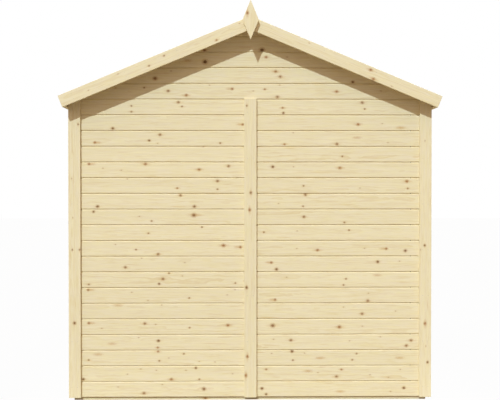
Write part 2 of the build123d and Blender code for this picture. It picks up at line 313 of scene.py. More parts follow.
knot_marks = ("Core", "Rim", "Halo")
grain_marks = ("Rings", "Streaks", "Warmth", "Resin", "Fibres")


def make_knot_group():
    """Marks of the one knot near a point, and the grain bent round it; lengths in knot radii."""
    knot_edge = 1.1
    knot_stretch = 1.12
    wobble_depth = 0.9
    halo_length, halo_width, tail_length = 5.5, 1.7, 3.0
    bend_length, bend_width = 2.4, 1.15
    takes = dict.fromkeys(("Timber", "Knot", "Look"), "Vector")
    gives = {"Bent Timber": "Vector", **dict.fromkeys(knot_marks, "Float")}
    recipe, taken = new_tree("ShaderNodeTree", "knot_in_the_grain", takes, gives)
    along, across, depth = recipe.split(taken["Timber"])
    knot_along, knot_across, radius = recipe.split(taken["Knot"])
    lean = recipe.split(taken["Look"])[2]
    radius = recipe.maths("MAXIMUM", radius, 0.0002)
    u = (along - knot_along) / radius
    v = (across - knot_across) / radius
    wobble = (recipe.noise(taken["Timber"], (190, 190, 190), 2.0, 0.6) - 0.5) * wobble_depth
    spread = recipe.length(u / knot_stretch, v) + wobble
    off_rim = recipe.maths("ABSOLUTE", spread - knot_edge)
    halo = recipe.length((u - lean * tail_length) / halo_length, v / halo_width) + wobble
    far_u = u / bend_length
    far_v = v / bend_width
    far = far_u * far_u + far_v * far_v
    bent = v * radius * (far / (far + 1.0)) + knot_across
    results = {
        "Bent Timber": recipe.join(along, bent, depth),
        "Core": recipe.ease(spread, 0.45, knot_edge, 1.0, 0.0),
        "Rim": recipe.ease(off_rim, 0.0, 0.75, 1.0, 0.0),
        "Halo": recipe.ease(halo, 0.0, 1.0, 1.0, 0.0),
    }
    recipe.node("NodeGroupOutput", results)
    return recipe.tree


def make_grain_group():
    """Growth rings, streaks, resin and fibres of softwood, cut from a log with its pith at 0."""
    ring_width = 0.0042
    trunk_taper = 0.004
    drift_depth = 0.03
    waver_depth = 0.009
    gives = dict.fromkeys(grain_marks, "Float")
    recipe, taken = new_tree("ShaderNodeTree", "softwood_grain", {"Timber": "Vector"}, gives)
    timber = taken["Timber"]
    along, across, depth = recipe.split(timber)
    drift = recipe.noise(timber, (1.4, 7, 7)) - 0.5
    waver = recipe.noise(timber, (8, 34, 34), 2.0) - 0.5
    radial = recipe.length(across + drift * drift_depth, depth)
    radial = radial + along * trunk_taper + waver * waver_depth
    year = recipe.maths("FRACT", radial / ring_width)
    late = recipe.ease(year, 0.4, 0.9) * recipe.ease(year, 0.94, 1.0, 1.0, 0.0)
    growth = recipe.noise(recipe.join(radial), (120, 1, 1))
    elsewhere = recipe.vector("ADD", timber, (3.7, 1.9, 0.6))
    resin = recipe.noise(elsewhere, (4.5, 95, 30), 2.0, 0.55)
    results = {
        "Rings": late * recipe.ease(growth, 0.25, 0.75),
        "Streaks": recipe.noise(timber, (7, 85, 45), 5.0, 0.7),
        "Warmth": recipe.noise(elsewhere, (14, 80, 45), 4.0, 0.65),
        "Resin": recipe.ease(resin, 0.64, 0.8),
        "Fibres": recipe.noise(timber, (38, 1300, 1300), 2.0, 0.6),
    }
    recipe.node("NodeGroupOutput", results)
    return recipe.tree


def make_tint_group():
    """Colour of bare wood from its rings, streaks and knots."""
    takes = {"Early Wood": "Color", "Late Wood": "Color", "Look": "Vector", "Tone": "Float"}
    takes.update(dict.fromkeys(grain_marks + knot_marks, "Float"))
    recipe, taken = new_tree("ShaderNodeTree", "bare_wood_tint", takes, {"Color": "Color"})
    ring_share, streak_share, resin_share, rim_share = 0.62, 0.5, 0.55, 0.42
    dark, red = recipe.split(taken["Look"])[:2]
    late = taken["Late Wood"]
    streak = recipe.ease(taken["Streaks"], 0.5, 0.72)
    colour = recipe.tint(taken["Rings"] * ring_share, taken["Early Wood"], late)
    colour = recipe.tint(streak * streak_share, colour, late)
    colour = recipe.tint(taken["Resin"] * resin_share, colour, resin_colour)
    colour = recipe.tint(taken["Halo"] * (red * 0.45 + 0.14), colour, halo_colour)
    colour = recipe.tint(taken["Rim"] * (dark * rim_share), colour, rim_colour)
    knot_colour = recipe.tint(red, dark_knot, red_knot)
    colour = recipe.tint(taken["Core"] * dark, colour, knot_colour)
    bright = recipe.ease(taken["Streaks"], 0.5, 0.3, 1.0, 1.04)
    bright = bright * (taken["Tone"] * 0.012 + 1.0) * (taken["Fibres"] * 0.05 + 0.975)
    warm = recipe.join(bright, bright, bright * (taken["Warmth"] * -0.4 + 1.2))
    recipe.node("NodeGroupOutput", [recipe.vector("MULTIPLY", colour, warm)])
    return recipe.tree


knot_group = make_knot_group()
grain_group = make_grain_group()
tint_group = make_tint_group()


def wood(name, early, late, roughness, fibre_height, saw_height=0.0):
    """Bare softwood; saw_height is how deep the marks of the saw across the grain are."""
    fibre_roughness, knot_polish, relief = 0.12, 0.18, 0.6
    material, recipe = new_material(name)
    timber = recipe.carried("timber")
    look = recipe.carried("knot_look")
    feeds = {"Timber": timber, "Knot": recipe.carried("knot"), "Look": look}
    knots = recipe.node("ShaderNodeGroup", feeds, node_tree=knot_group)
    feeds = {"Timber": knots["Bent Timber"]}
    grain = recipe.node("ShaderNodeGroup", feeds, node_tree=grain_group)
    feeds = {"Early Wood": early, "Late Wood": late, "Look": look}
    feeds["Tone"] = recipe.carried("tone", "Fac")
    feeds.update({mark: grain[mark] for mark in grain_marks})
    feeds.update({mark: knots[mark] for mark in knot_marks})
    colour = recipe.node("ShaderNodeGroup", feeds, node_tree=tint_group)["Color"]
    rough = grain["Fibres"] * fibre_roughness + knots["Core"] * -knot_polish + roughness
    height = (grain["Fibres"] + grain["Rings"]) * fibre_height
    if saw_height:
        height = height + recipe.noise(timber, (420, 9, 9), 2.0) * saw_height
    recipe.surface(colour, rough, recipe.bump(height, relief), shine=0.3)
    return material


def make_felt():
    """Mineral felt: bitumen with slate grit pressed into it, lighter where grit lies thick."""
    chips_per_metre, chip_height = 520.0, 0.0006
    material, recipe = new_material("mineral_felt")
    place = recipe.place()
    grit = recipe.node("ShaderNodeTexVoronoi", {"Vector": place, "Scale": chips_per_metre})
    speck = recipe.split(grit["Color"])[0]
    chip = recipe.tint(speck, (0.034, 0.033, 0.029, 1.0), (0.120, 0.118, 0.098, 1.0))
    cloud = recipe.ease(recipe.noise(place, (3.5, 2.2, 3.5), 4.0, 0.6), 0.3, 0.8)
    worn = recipe.tint(cloud, (0.88, 0.9, 0.9, 1.0), (1.1, 1.08, 1.05, 1.0))
    colour = recipe.vector("MULTIPLY", chip, worn)
    normal = recipe.bump(grit["Distance"] * -chip_height, 0.8)
    recipe.surface(colour, speck * 0.2 + 0.72, normal, shine=0.35)
    return material


def make_iron():
    """Black painted iron: satin, with the orange peel of the paint and dust on it."""
    peel_height = 0.0003
    material, recipe = new_material("black_iron")
    place = recipe.place()
    peel = recipe.noise(place, (900, 900, 900), 2.0)
    dust = recipe.noise(place, (45, 45, 45), 4.0, 0.65)
    dusty = recipe.ease(dust, 0.45, 0.75)
    colour = recipe.tint(dusty, (0.016, 0.016, 0.017, 1.0), (0.03, 0.029, 0.028, 1.0))
    rough = recipe.ease(dust, 0.3, 0.75, 0.34, 0.52)
    recipe.surface(colour, rough, recipe.bump(peel * peel_height, 0.5), shine=0.6)
    return material


def make_zinc():
    """Galvanised nail heads: dull zinc with pale spangles."""
    spangle_height = 0.0002
    material, recipe = new_material("galvanised_nails")
    spangle = recipe.noise(recipe.place(), (700, 700, 700), 2.0)
    pale = recipe.ease(spangle, 0.35, 0.7)
    colour = recipe.tint(pale, (0.33, 0.34, 0.35, 1.0), (0.55, 0.56, 0.57, 1.0))
    rough = recipe.ease(spangle, 0.3, 0.7, 0.42, 0.6)
    normal = recipe.bump(spangle * spangle_height, 0.5)
    recipe.surface(colour, rough, normal, metal=0.85)
    return material


def make_floor_finish():
    """The pale floor: white to the camera, with only a trace of shadow, and paler by the walls as
    a painted pool of light.
    """
    material, recipe = new_material("pale_floor")
    past = []
    for way in recipe.split(recipe.place())[:2]:
        off_wall = recipe.maths("ABSOLUTE", way) - clad_face
        past.append(recipe.maths("MAXIMUM", off_wall, 0.0))
    # Paler colour by the walls: a painted pool of light that throws more bounce on to the lowest
    # boards
    off = recipe.ease(recipe.length(*past), 0.05, 0.5)
    grey = recipe.node("ShaderNodeBsdfDiffuse", [recipe.tint(off, floor_by_walls_painted_light, floor_far)])
    glow = recipe.node("ShaderNodeEmission", [white])
    recipe.put_out("ShaderNodeOutputMaterial", grey, glow, floor_white_share)
    return material


def light_the_world():
    """White behind the shed, and a soft warm light all round it, stronger on the sun's side."""
    scene.world = bpy.data.worlds.new("studio")
    recipe = empty_recipe(scene.world)
    east, north, height = recipe.split(recipe.node("ShaderNodeTexCoord")["Generated"])
    colour = recipe.tint(recipe.ease(north, -0.3, 0.4), rear_ambient, front_ambient)
    above = recipe.maths("MAXIMUM", height, 0.0)
    glow = above * (zenith_light - horizon_light) + horizon_light
    glow = glow * (east * -sunward_share + 1.0)
    soft = recipe.node("ShaderNodeBackground", [colour, glow])
    plain = recipe.node("ShaderNodeBackground", [white])
    recipe.put_out("ShaderNodeOutputWorld", soft, plain, 1.0)


shiplap_wood = wood("shiplap_wood", planed_early, planed_late, 0.55, 0.00010)
trim_wood = wood("trim_wood", planed_early, planed_late, 0.52, 0.00008)
plank_wood = wood("plank_wood", planed_early, planed_late, 0.6, 0.00012)
sawn_wood = wood("sawn_wood", sawn_early, sawn_late, 0.72, 0.0002, 0.0005)
mineral_felt = make_felt()
black_iron = make_iron()
galvanised = make_zinc()


# Making of shapes


def put_piece(name, mesh, finish):
    """A finished piece in the scene, riding on the building."""
    piece = bpy.data.objects.new(name, mesh)
    scene.collection.objects.link(piece)
    mesh.materials.clear()
    mesh.materials.append(finish)
    mesh.shade_smooth()
    mesh.set_sharp_from_angle(angle=sharp_edge)
    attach(piece, "root")
    return piece


def closed_mesh(bm, name):
    """The mesh of a finished shape, its faces turned outwards."""
    bmesh.ops.recalc_face_normals(bm, faces=bm.faces)
    mesh = bpy.data.meshes.new(name)
    bm.to_mesh(mesh)
    bm.free()
    return mesh


def finished(bm, name, finish, solid):
    """Puts a shape in the scene as the piece that stands for a solid."""
    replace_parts(put_piece(name, closed_mesh(bm, name), finish), solid)


def skin(bm, rings, closed=True):
    """Faces between each ring or line of corners and the next one."""
    for near, far in zip(rings[:-1], rings[1:]):
        for number in range(len(near) if closed else len(near) - 1):
            after = (number + 1) % len(near)
            bm.faces.new((near[number], near[after], far[after], far[number]))


def arc(centre, radius, start, end, steps):
    """Points of an arc, its angles in degrees."""
    points = []
    for step in range(steps + 1):
        angle = math.radians(start + (end - start) * step / steps)
        x = centre[0] + radius * math.cos(angle)
        y = centre[1] + radius * math.sin(angle)
        points.append((x, y))
    return points


def shiplap_section():
    """Depth behind the face and height above the lower edge, round one shiplap board."""
    tongue_face = lip_thickness + lip_clearance
    sweep = 2 * math.atan(tongue_face / cove_height)
    radius = cove_height / math.sin(sweep)
    cove = arc((tongue_face - radius, board_cover), radius, 0, -math.degrees(sweep), cove_steps)
    edge = arc((lip_arris, lip_arris), lip_arris, 180, 270, arris_steps)
    shoulder = tongue_height + tongue_clearance
    tongue_top = board_cover + tongue_height
    back = [
        (lip_thickness, 0),
        (lip_thickness, shoulder),
        (board_thickness, shoulder),
        (board_thickness, tongue_top),
        (tongue_face, tongue_top),
    ]
    return edge + back + cove


def plank_section():
    """Depth and height round one floor or roof board, with a V on its show side."""
    top = plank_cover - plank_clearance
    thick = board_thickness
    bevel = plank_bevel
    return [(0, bevel), (bevel, 0), (thick, 0), (thick, top), (bevel, top), (0, top - bevel)]


def board_mesh(section, spans, foot):
    """Boards of one row, each between two distances along, facing -Y."""
    bm = bmesh.new()
    for ends in spans:
        rings = []
        for x in ends:
            rings.append([bm.verts.new((x, depth, foot + height)) for depth, height in section])
        skin(bm, rings)
        bm.faces.new(rings[0])
        bm.faces.new(rings[1])
    return closed_mesh(bm, "boards")


def new_shape_tree(name, takes):
    """An empty geometry tree that takes a shape and other values, and gives a shape."""
    takes = {"Shape": "Geometry", **takes, "Finish": "Material"}
    return new_tree("GeometryNodeTree", name, takes, {"Shape": "Geometry"})


def laid_copies(recipe, finish, feeds):
    """Ends a geometry tree with copies set on points, made real and given their finish."""
    laid = recipe.node("GeometryNodeInstanceOnPoints", feeds)
    real = recipe.node("GeometryNodeRealizeInstances", [laid[0]])
    feeds = {"Geometry": real[0], "Material": finish}
    dressed = recipe.node("GeometryNodeSetMaterial", feeds)
    recipe.node("NodeGroupOutput", [dressed[0]])
    return recipe.tree


def make_row_tree():
    """Repeats a row of boards at an equal step, as they are laid on a wall or a roof."""
    recipe, taken = new_shape_tree("rows_of_boards", {"Rows": "Int", "Step": "Vector"})
    feeds = {"Count": taken["Rows"], "Offset": taken["Step"]}
    line = recipe.node("GeometryNodeMeshLine", feeds, mode="OFFSET")
    return laid_copies(recipe, taken["Finish"], {"Points": line[0], "Instance": taken["Shape"]})


def make_head_tree():
    """Sets a domed head on every point, facing the way that the point says."""
    recipe, taken = new_shape_tree("domed_heads", {"Width": "Float", "Rise": "Float"})
    feeds = {"Segments": 8, "Rings": 4, "Radius": 0.5}
    dome = recipe.node("GeometryNodeMeshUVSphere", feeds)
    feeds = {"Name": "facing"}
    facing = recipe.node("GeometryNodeInputNamedAttribute", feeds, data_type="FLOAT_VECTOR")
    turn = recipe.node("FunctionNodeAlignRotationToVector", {"Vector": facing[0]}, axis="Z")
    size = recipe.join(taken["Width"], taken["Width"], taken["Rise"] * 2.0)
    feeds = {"Points": taken["Shape"], "Instance": dome[0], "Rotation": turn[0], "Scale": size}
    return laid_copies(recipe, taken["Finish"], feeds)


row_tree = make_row_tree()
head_tree = make_head_tree()


def grown(mesh, tree, values):
    """The mesh that a geometry tree makes of another one, with the tree's inputs set."""
    holder = bpy.data.objects.new("holder", mesh)
    scene.collection.objects.link(holder)
    modifier = holder.modifiers.new("grown", "NODES")
    modifier.node_group = tree
    for item in tree.interface.items_tree:
        if item.in_out == "INPUT" and item.name in values:
            modifier[item.identifier] = values[item.name]
    holder.update_tag()
    bpy.context.view_layer.update()
    graph = bpy.context.evaluated_depsgraph_get()
    result = bpy.data.meshes.new_from_object(holder.evaluated_get(graph))
    bpy.data.objects.remove(holder)
    return result


def rows_of_boards(section, spans, foot, rows, cover, finish):
    """Rows of boards one above another, as a shape that can be sawn and turned."""
    row = board_mesh(section, spans, foot)
    values = {"Rows": rows, "Step": Vector((0, 0, cover)), "Finish": finish}
    bm = bmesh.new()
    bm.from_mesh(grown(row, row_tree, values))
    return bm


def saw(bm, point, away):
    """Saws through all the boards; what lies on the away side goes, and the cut is closed."""
    everything = bm.verts[:] + bm.edges[:] + bm.faces[:]
    cut = bmesh.ops.bisect_plane(
        bm, geom=everything, plane_co=point, plane_no=away, clear_outer=True, dist=1e-7
    )
    edges = [part for part in cut["geom_cut"] if isinstance(part, bmesh.types.BMEdge)]
    bmesh.ops.edgeloop_fill(bm, edges=edges)


def loose_timbers(bm):
    """The separate boards or lengths of timber of a piece, as lists of faces."""
    counted = set()
    timbers = []
    for start in bm.faces:
        if start in counted:
            continue
        counted.add(start)
        timber = [start]
        for face in timber:
            for edge in face.edges:
                new = [near for near in edge.link_faces if near not in counted]
                counted.update(new)
                timber += new
        timbers.append(timber)
    return timbers


# A gap between knots across a timber counts for more than one along it
across_weight = 4.0


def cells_of(bm, faces, knots, axes):
    """Cuts a timber's faces between neighbouring knots, so that a cell holds one knot."""
    if len(knots) < 2:
        return [(faces, knots)]
    widest = (0, None, 0)
    for axis, weight in zip(axes, (1.0, across_weight)):
        spots = sorted(knot[0].dot(axis) for knot in knots)
        for low, high in zip(spots, spots[1:]):
            if (high - low) * weight > widest[0]:
                widest = ((high - low) * weight, axis, (low + high) / 2)
    axis, middle = widest[1:]
    if axis is None:
        return [(faces, knots[:1])]
    edges = list(dict.fromkeys(edge for face in faces for edge in face.edges))
    corners = list(dict.fromkeys(corner for face in faces for corner in face.verts))
    cut = bmesh.ops.bisect_plane(
        bm, geom=corners + edges + faces, plane_co=axis * middle, plane_no=axis, dist=1e-7
    )
    near, far = [], []
    for face in cut["geom"]:
        if isinstance(face, bmesh.types.BMFace):
            side = near if face.calc_center_median().dot(axis) < middle else far
            side.append(face)
    near_knots = [knot for knot in knots if knot[0].dot(axis) < middle]
    far_knots = [knot for knot in knots if knot[0].dot(axis) >= middle]
    return cells_of(bm, near, near_knots, axes) + cells_of(bm, far, far_knots, axes)


# Knots: radius in metres, then how dark and how red they are and where their tail lies
knot_looks = {
    "faint": (0.0035, (0.34, 0.4, 0.0)),
    "small": (0.0051, (0.76, 0.4, 0.0)),
    "medium": (0.0078, (0.78, 0.45, 0.0)),
    "large": (0.0098, (0.84, 0.35, 0.0)),
    "small dark": (0.0066, (0.92, 0.2, 0.0)),
    "medium dark": (0.0080, (0.92, 0.2, 0.0)),
    "large dark": (0.0106, (0.85, 0.4, 0.0)),
    "black": (0.0122, (1.0, 0.0, 0.0)),
    "small red": (0.0054, (0.75, 0.9, 0.0)),
    "medium red": (0.0076, (0.80, 0.9, 0.0)),
    "large red": (0.0090, (0.82, 0.85, 0.0)),
    "red with right tail": (0.0070, (0.80, 0.95, 0.7)),
    "red with left tail": (0.0070, (0.80, 0.95, -0.7)),
    "streak": (0.0078, (0.0, 1.0, 0.0)),
}
wild_knots = ("faint",) * 9 + ("small",) * 5 + ("medium",) * 4 + ("small red",) * 2
wild_knots += ("medium red", "medium dark", "large dark", "red with left tail")
wild_knots += ("streak",) * 2
knots_per_square_metre = 42
knot_spacing = 0.03
no_knot = (-50, 0, 0)

# Where in its log a timber lies: along the log, and beside and out from its pith
log_along = (0, 9)
log_beside = (-0.04, 0.04)
log_out = (0.02, 0.075)


def grown_knots(rng, centre, reach, axes, density):
    """Knots scattered over one timber; reach is half its length and half its width."""
    knots = []
    area = 4 * reach[0] * reach[1]
    for _ in range(int(density * area + rng.random())):
        along = rng.uniform(-reach[0], reach[0])
        across = rng.uniform(-reach[1], reach[1])
        kind = rng.choice(wild_knots)
        place = centre + axes[0] * along + axes[1] * across
        if all((place - knot[0]).length > knot_spacing for knot in knots):
            knots.append((place, *knot_looks[kind]))
    return knots


def holds(place, along, across, spans):
    """Whether a knot lies on a timber, on the part of its width that isn't lapped over."""
    (start, end), (foot, top) = spans[:2]
    width_end = min(top, foot + board_cover)
    return start <= place.dot(along) <= end and foot <= place.dot(across) < width_end


def season(bm, grain, seed, density, seen_knots=()):
    """Gives each timber its own place in a log, its own tone, and its knots.

    grain tells from the middle of a timber which way its fibres and its width run.
    """
    rng = random.Random(seed)
    place_layer = bm.verts.layers.float_vector.new("timber")
    knot_layer = bm.faces.layers.float_vector.new("knot")
    look_layer = bm.faces.layers.float_vector.new("knot_look")
    tone_layer = bm.faces.layers.float.new("tone")
    for faces in loose_timbers(bm):
        corners = list(dict.fromkeys(corner for face in faces for corner in face.verts))
        middle = sum((corner.co for corner in corners), Vector()) / len(corners)
        along, across = grain(middle)
        axes = (along, across, along.cross(across))
        spans = []
        for axis in axes:
            distances = [corner.co.dot(axis) for corner in corners]
            spans.append((min(distances), max(distances)))
        centre = sum((axis * (low + high) / 2 for axis, (low, high) in zip(axes, spans)), Vector())
        shift = Vector([rng.uniform(*part) for part in (log_along, log_beside, log_out)])
        tone = rng.uniform(-1, 1)
        mine = [knot for knot in seen_knots if holds(knot[0], along, across, spans)]
        if density:
            half_sizes = [(high - low) / 2 for low, high in spans]
            mine = mine + grown_knots(rng, centre, half_sizes, axes, density)
        shift -= Vector((0, centre.dot(across), centre.dot(axes[2])))
        for cell, knots in cells_of(bm, faces, mine, (along, across)):
            knot_value, look = no_knot, (0, 0, 0)
            if knots:
                place, radius, look = knots[0]
                knot_value = (place.dot(along) + shift.x, place.dot(across) + shift.y, radius)
            for face in cell:
                face[knot_layer] = Vector(knot_value)
                face[look_layer] = Vector(look)
                face[tone_layer] = tone
                for corner in face.verts:
                    corner[place_layer] = Vector([corner.co.dot(axis) for axis in axes]) + shift


def runs(along, across):
    """Grain that runs the same way in every timber of a piece."""
    return lambda middle: (Vector(along), Vector(across))


# Shiplap walls

# Where the roof boards cut a gable, right and left of the middle, and the top of a side wall
gable_cuts = [((0, 0, gable_peak), (side * roof_sin, 0, roof_cos)) for side in (1, -1)]
eaves_seat = (0, 0, gable_peak - roof_slope * clad_face)
eaves_cuts = [(eaves_seat, (0, -roof_sin, roof_cos))]

# What the photographed gable shows: kinds of knot, with their columns and rows of the photograph
board_knots_seen = {
    "large dark": [(204.4, 50.1), (155.0, 78.4), (193.8, 215.2), (272.7, 325.6)],
    "black": [(205.0, 61.9), (262.0, 50.1)],
    "small": [
        (144.2, 87.6), (131.4, 105.9), (131.4, 111.7), (182.0, 106.5), (220.1, 143.1),
        (217.5, 189.2), (151.6, 221.0), (202.0, 227.1), (148.4, 233.3), (136.0, 249.6),
        (169.0, 273.3), (88.8, 284.5), (235.3, 283.1), (189.2, 298.0), (189.6, 327.7),
        (88.7, 360.0), (183.8, 353.9), (159.2, 360.8), (199.3, 379.3), (364.7, 109.0),
        (342.3, 156.4), (303.6, 185.8), (407.8, 188.5), (303.0, 206.3), (263.9, 232.2),
        (344.4, 222.4), (349.0, 230.1), (346.0, 278.8), (343.5, 285.0), (292.9, 360.2),
        (356.6, 353.6), (352.3, 359.8),
    ],
    "faint": [
        (171.0, 71.0), (115.7, 87.9), (279.6, 85.0), (380.9, 90.9), (287.1, 57.1),
        (253.2, 91.0), (209.5, 85.2), (157.6, 143.4), (203.2, 146.8), (103.0, 168.3),
        (121.3, 170.3), (127.2, 179.0), (139.3, 216.4), (115.4, 244.5), (141.7, 258.3),
        (184.8, 262.6), (182.3, 276.0), (235.0, 289.6), (131.8, 292.3), (227.2, 294.9),
        (148.0, 300.5), (161.7, 305.0), (155.7, 324.4), (101.7, 328.4), (138.7, 337.6),
        (168.8, 358.0), (199.1, 361.4), (215.0, 362.0), (140.8, 369.0), (156.3, 370.3),
        (186.0, 370.3), (127.4, 374.2), (232.6, 373.7), (118.1, 387.0), (162.3, 384.6),
        (382.2, 123.6), (293.3, 132.8), (388.0, 142.6), (293.6, 166.7), (360.1, 188.0),
        (278.5, 203.5), (297.1, 231.0), (296.7, 248.4), (364.5, 248.4), (399.5, 261.1),
        (286.6, 277.3), (368.4, 293.3), (343.5, 307.1), (395.6, 311.1), (362.3, 326.2),
        (380.3, 336.8), (349.6, 340.8), (273.6, 339.3), (304.5, 353.1), (271.7, 353.4),
        (317.9, 372.5), (400.3, 369.4), (388.4, 377.4), (370.0, 374.6), (390.6, 391.5),
    ],
    "medium red": [
        (266.1, 57.1), (275.6, 71.5), (336.6, 91.6), (186.3, 95.2), (145.4, 164.0),
        (199.0, 169.6), (227.9, 325.3), (171.4, 379.3), (358.1, 124.4), (339.9, 167.9),
        (406.8, 181.3), (317.5, 250.1),
    ],
    "medium": [
        (280.3, 76.7), (277.4, 96.9), (168.2, 90.9), (178.4, 102.3), (160.0, 134.7),
        (228.5, 166.1), (217.5, 181.0), (180.5, 195.3), (158.1, 254.2), (125.4, 267.3),
        (162.9, 279.0), (144.8, 323.5), (143.9, 393.2), (362.3, 102.6), (336.9, 144.0),
        (305.4, 194.7), (303.9, 216.8), (367.8, 300.8), (362.0, 313.8), (290.8, 340.2),
        (411.0, 340.3), (406.3, 345.6), (336.5, 376.5),
    ],
    "small red": [
        (264.8, 89.3), (177.2, 188.2), (157.8, 347.6), (158.1, 351.6), (282.6, 107.8),
        (284.5, 144.2), (266.2, 369.4), (341.4, 369.5),
    ],
    "medium dark": [
        (352.8, 82.1), (112.7, 128.4), (97.5, 206.5), (194.4, 206.5), (158.5, 340.8),
        (83.3, 379.3), (272.7, 166.8), (405.3, 250.7), (276.5, 269.3), (377.7, 261.8),
        (292.0, 351.4), (261.9, 388.5), (403.8, 387.9),
    ],
    "red with left tail": [
        (232.2, 88.9), (242.7, 124.5), (240.5, 247.1), (386.3, 248.7), (271.4, 262.5),
        (275.1, 299.8),
    ],
    "streak": [
        (187.6, 60.6), (118.1, 305.3), (112.0, 343.8), (98.0, 354.4), (400.5, 127.7),
        (356.9, 137.6), (377.2, 275.2), (399.5, 357.7), (320.0, 358.0), (308.0, 371.0),
        (340.0, 391.5),
    ],
    "red with right tail": [(94.8, 142.5), (89.0, 164.0), (88.2, 289.9), (88.8, 323.1)],
    "small dark": [
        (149.2, 140.4), (93.5, 211.7), (159.1, 283.8), (195.9, 368.0), (283.4, 113.0),
        (266.2, 394.2),
    ],
    "large red": [(223.5, 245.5), (339.3, 327.0)],
    "large": [(203.9, 388.9)],
}
strip_knots_seen = {
    "small": [(246.8, 105.7), (78.1, 124.3), (72.3, 249.8), (79.5, 249.8)],
    "medium": [(250.8, 192.8)],
    "faint": [(71.6, 178.6), (72.7, 217.8), (425.0, 140.8), (420.6, 249.8), (425.9, 346.1)],
    "medium red": [(249.6, 209.8), (247.4, 356.5), (245.9, 375.5), (425.0, 323.5)],
    "medium dark": [(246.6, 287.5), (74.5, 323.1)],
    "small dark": [(424.7, 245.4), (427.5, 362.2)],
}
trim_knots_seen = {
    "small red": [(216.6, 40.1)],
    "small": [(164.0, 55.7), (149.0, 65.8)],
    "faint": [
        (118.0, 74.0), (88.4, 90.3), (239.6, 23.3), (218.8, 28.0), (391.7, 86.3), (309.3, 43.1),
    ],
    "medium red": [(370.7, 69.9), (373.4, 79.0)],
}
finial_knots_seen = {"medium red": [(247.4, 12.9)]}
bearer_knots_seen = {"medium red": [(205.4, 398.3)]}


def seen(marks, face):
    """Knots at the places where the photograph shows them on an upright face."""
    return [
        (on_face(column, row, face), *knot_looks[kind])
        for kind, spots in marks.items()
        for column, row in spots
    ]


board_knots = seen(board_knots_seen, clad_face)
strip_knots = seen(strip_knots_seen, strip_face)
trim_knots = seen(trim_knots_seen, trim_face)
knots_on = {
    "rear_corner_strips": strip_knots,
    "rear_centre_strip": strip_knots,
    "rear_bargeboard_left": trim_knots,
    "rear_bargeboard_right": trim_knots,
    "rear_finial": seen(finial_knots_seen, finial_face),
    "floor_bearers": seen(bearer_knots_seen, clad_back),
}


def clad(name, wall, spans, foot, rows, cuts, solid, seed):
    """Shiplap boards of one panel or wall, sawn off where the roof or a doorway is.

    The rear gable has the knots that the photograph shows, and the other walls have wild ones.
    """
    bm = rows_of_boards(shiplap_section(), spans, foot, rows, board_cover, shiplap_wood)
    for point, away in cuts:
        saw(bm, point, away)
    turn = Matrix.Rotation(math.radians(turns[wall]), 4, "Z")
    bm.transform(turn @ Matrix.Translation((0, -clad_face, 0)))
    grain = runs(turn.to_3x3() @ Vector((1, 0, 0)), (0, 0, 1))
    if wall == "rear":
        season(bm, grain, seed, 0.0, board_knots)
    else:
        season(bm, grain, seed, knots_per_square_metre)
    finished(bm, name, shiplap_wood, solid)


def on_both_sides(low, high):
    """Spans of boards on the left and on the right, between two distances from the middle."""
    return [(-high, -low), (low, high)]


whole_width = [(-clad_face, clad_face)]
wall_panels = on_both_sides(panel_gap / 2, clad_face)
side_panels = on_both_sides(panel_gap / 2, clad_back)
beside_doors = on_both_sides(jamb_low, clad_face)
panels = [
    ("rear_wall", wall_panels, wall_foot, panel_rows, []),
    ("rear_gable", whole_width, wall_top, gable_rows, gable_cuts),
    ("front_wall", beside_doors, wall_foot, panel_rows, []),
    ("front_gable", whole_width, wall_top, gable_rows, gable_cuts),
    ("left_wall", side_panels, wall_foot, side_rows, eaves_cuts),
    ("right_wall", side_panels, wall_foot, side_rows, eaves_cuts),
]
for seed, (panel, spans, foot, rows, cuts) in enumerate(panels, 11):
    wall = panel.split("_")[0]
    clad(panel + "_boards", wall, spans, foot, rows, cuts, panel + "_cladding", seed)

leaf_spans = {"right": (-leaf_high.x, -leaf_low.x), "left": (leaf_low.x, leaf_high.x)}
door_ends = [((0, 0, leaf_low.z), (0, 0, -1)), ((0, 0, leaf_high.z), (0, 0, 1))]
for seed, (name, span) in enumerate(leaf_spans.items(), 11 + len(panels)):
    clad("door_boards_" + name, "front", [span], wall_foot, panel_rows, door_ends,
         "door_leaf_" + name, seed)


# Timbers that keep the shape of their solids, with eased edges


def shaped(node, manner, finish, arris, grain, seed, density):
    """A copy of a solid's shape with its edges eased, seasoned as wood."""
    bm = bmesh.new()
    bm.from_mesh(solids[node].data)
    bmesh.ops.remove_doubles(bm, verts=bm.verts, dist=1e-6)
    bmesh.ops.dissolve_limit(bm, angle_limit=math.radians(1), verts=bm.verts, edges=bm.edges)
    bmesh.ops.bevel(
        bm, geom=bm.edges[:], offset=arris, segments=arris_turns, profile=0.5, affect="EDGES",
        clamp_overlap=True,
    )
    season(bm, grain, seed, density, knots_on.get(node, ()))
    finished(bm, node + manner, finish, node)


def down_slope(side):
    """Down the slope of the roof; side is 1 on the right and -1 on the left."""
    return Vector((side * roof_cos, 0, -roof_sin))


def out_of_roof(side):
    """Square out of a slope of the roof."""
    return Vector((side * roof_sin, 0, roof_cos))


def roof_grain(middle):
    """Grain down the slope of the roof that a timber lies on."""
    side = 1 if middle.x > 0 else -1
    return down_slope(side), out_of_roof(side)


def brace_grain(middle):
    """Grain from the foot of a door brace at the hinges up to the meeting edge."""
    side = 1 if middle.x > 0 else -1
    brace_width, brace_height = 0.42, 0.68
    rise = Vector((-side * brace_width, 0, brace_height)).normalized()
    return rise, Vector((rise.z, 0, -rise.x))


upright_x = runs((0, 0, 1), (1, 0, 0))
upright_y = runs((0, 0, 1), (0, 1, 0))
level_x = runs((1, 0, 0), (0, 0, 1))
level_y = runs((0, 1, 0), (0, 0, 1))

